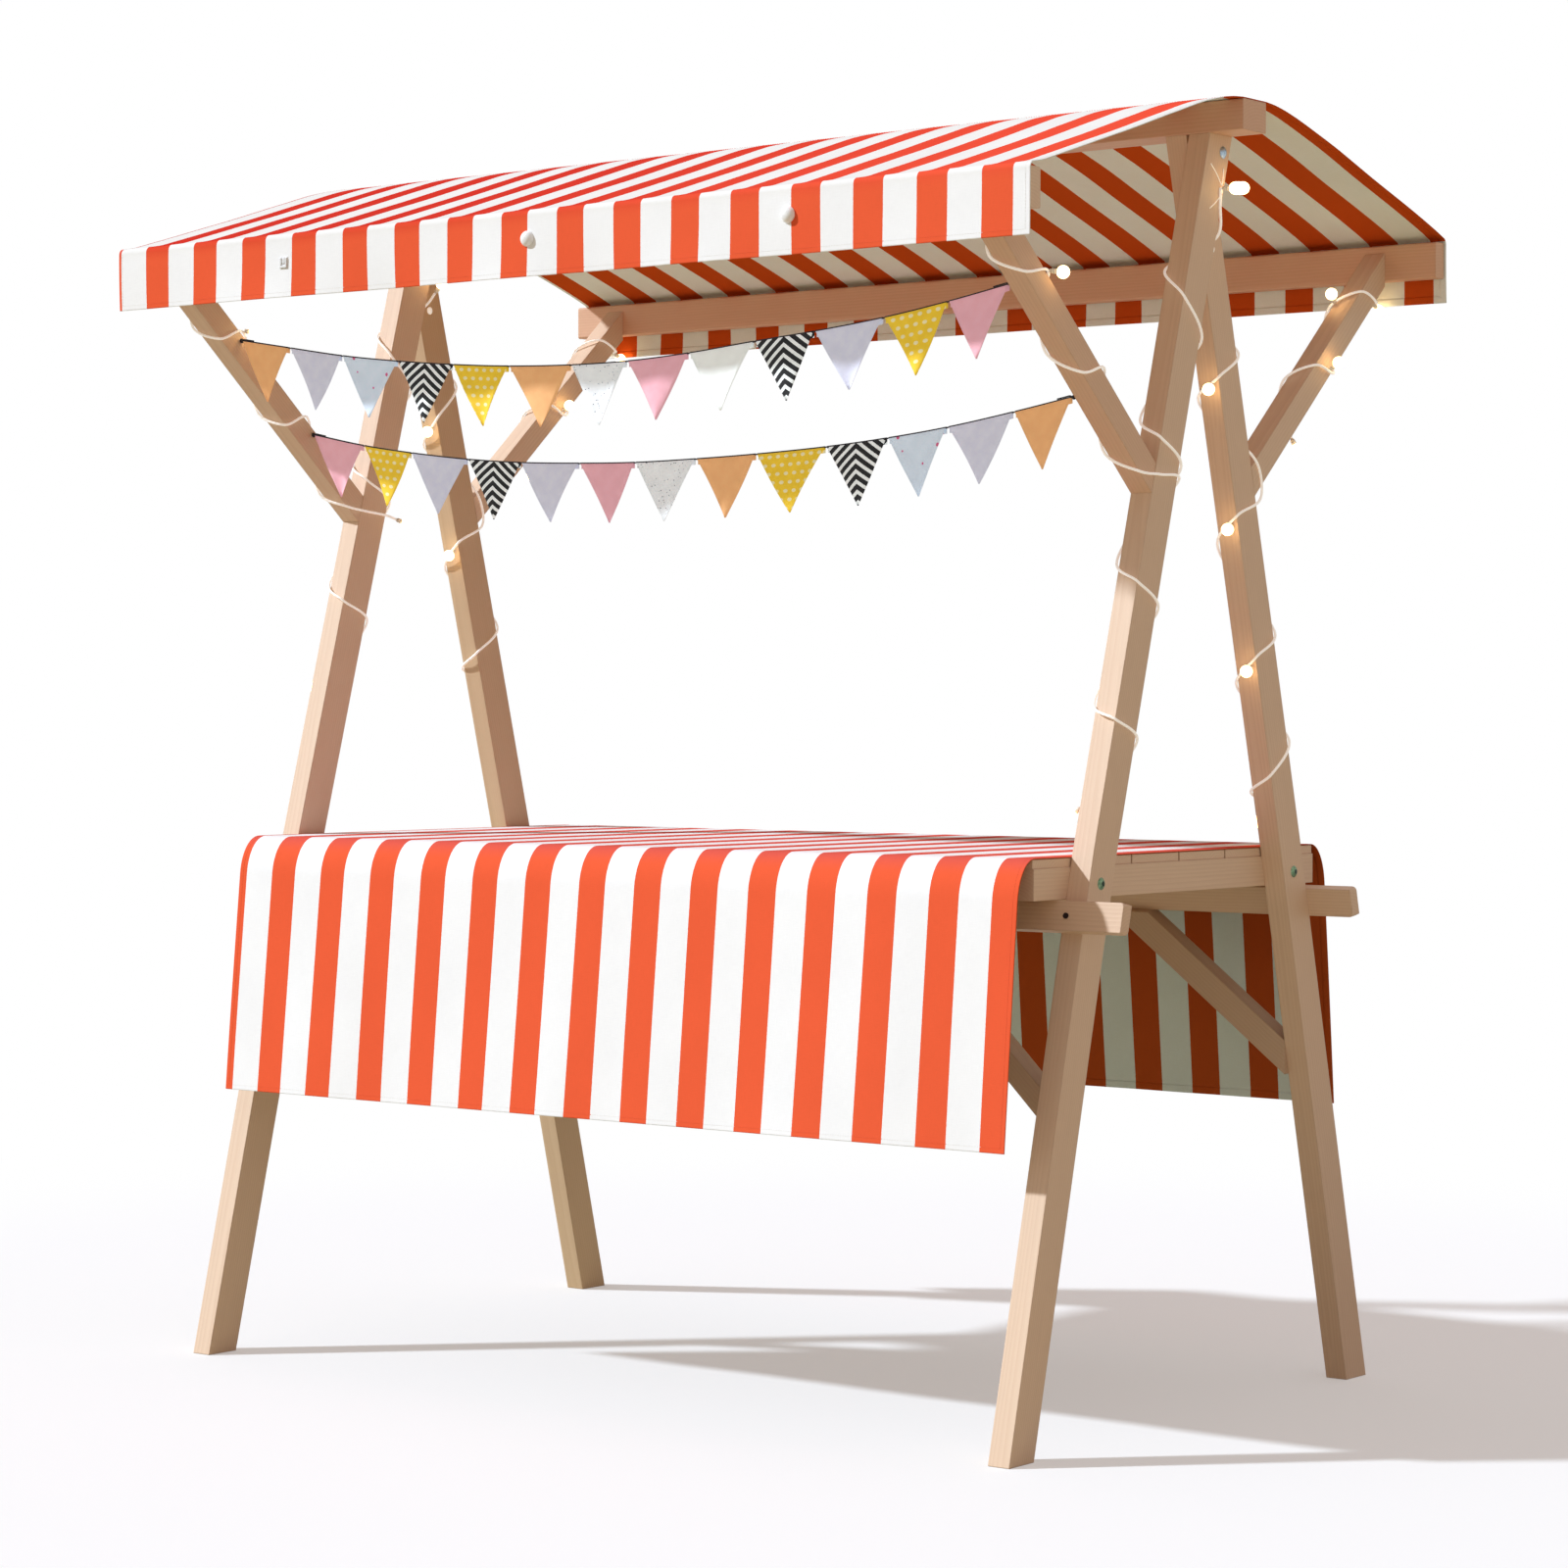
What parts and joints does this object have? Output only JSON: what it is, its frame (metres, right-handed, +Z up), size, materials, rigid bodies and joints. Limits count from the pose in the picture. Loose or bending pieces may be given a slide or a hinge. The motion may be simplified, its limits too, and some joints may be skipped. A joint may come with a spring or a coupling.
{
  "type": "wooden market stall",
  "caption": "Timber market stall: crossed legs carry a ridge beam and a striped canopy over a cloth-covered table, with bunting and bulb lights.",
  "frame": {"origin": "on the ground under the middle of the stall", "axes": "+X along the stall to the right as the customer sees it, +Y from the customer's side to the back, +Z up"},
  "size_m": [1.896, 1.251, 2.0643],
  "materials": {
    "pine": "planed, unvarnished softwood, dull",
    "canopy_cloth": "orange and white striped canvas, matt",
    "table_cloth": "orange and white striped canvas, matt",
    "steel": "zinc-plated, satin",
    "dark_steel": "dark countersunk screw head, dull",
    "string": "thin black twine",
    "flag_cloth": "thin printed cotton in plain colours, dots and zigzags",
    "light_cord": "white cord, dull",
    "bulb_glass": "frosted warm bulb"
  },
  "bodies": {
    "root": {"leg_front_right": "pine", "leg_rear_right": "pine", "leg_front_left": "pine", "leg_rear_left": "pine", "ridge_beam": "pine", "front_eave_beam": "pine", "rear_eave_beam": "pine", "strut_front_right": "pine", "strut_rear_right": "pine", "strut_front_left": "pine", "strut_rear_left": "pine", "end_apron_right": "pine", "end_apron_left": "pine", "front_apron": "pine", "rear_apron": "pine", "table_battens": "pine", "table_boards": "pine", "front_rail": "pine", "rear_rail": "pine", "knee_brace_front_right": "pine", "knee_brace_rear_right": "pine", "knee_brace_front_left": "pine", "knee_brace_rear_left": "pine", "canopy": "canopy_cloth", "tablecloth": "table_cloth", "valance_buttons": "steel", "bunting_ties": "string", "bunting_string_upper": "string", "bunting_string_lower": "string", "bunting_flags_upper": "flag_cloth", "bunting_flags_lower": "flag_cloth", "light_cord_right": "light_cord", "light_cord_left": "light_cord", "light_bulbs_right": "bulb_glass", "light_bulbs_left": "bulb_glass", "leg_bolts": "steel", "table_bolts": "steel", "rail_screws": "dark_steel"}
  },
  "joints": []
}
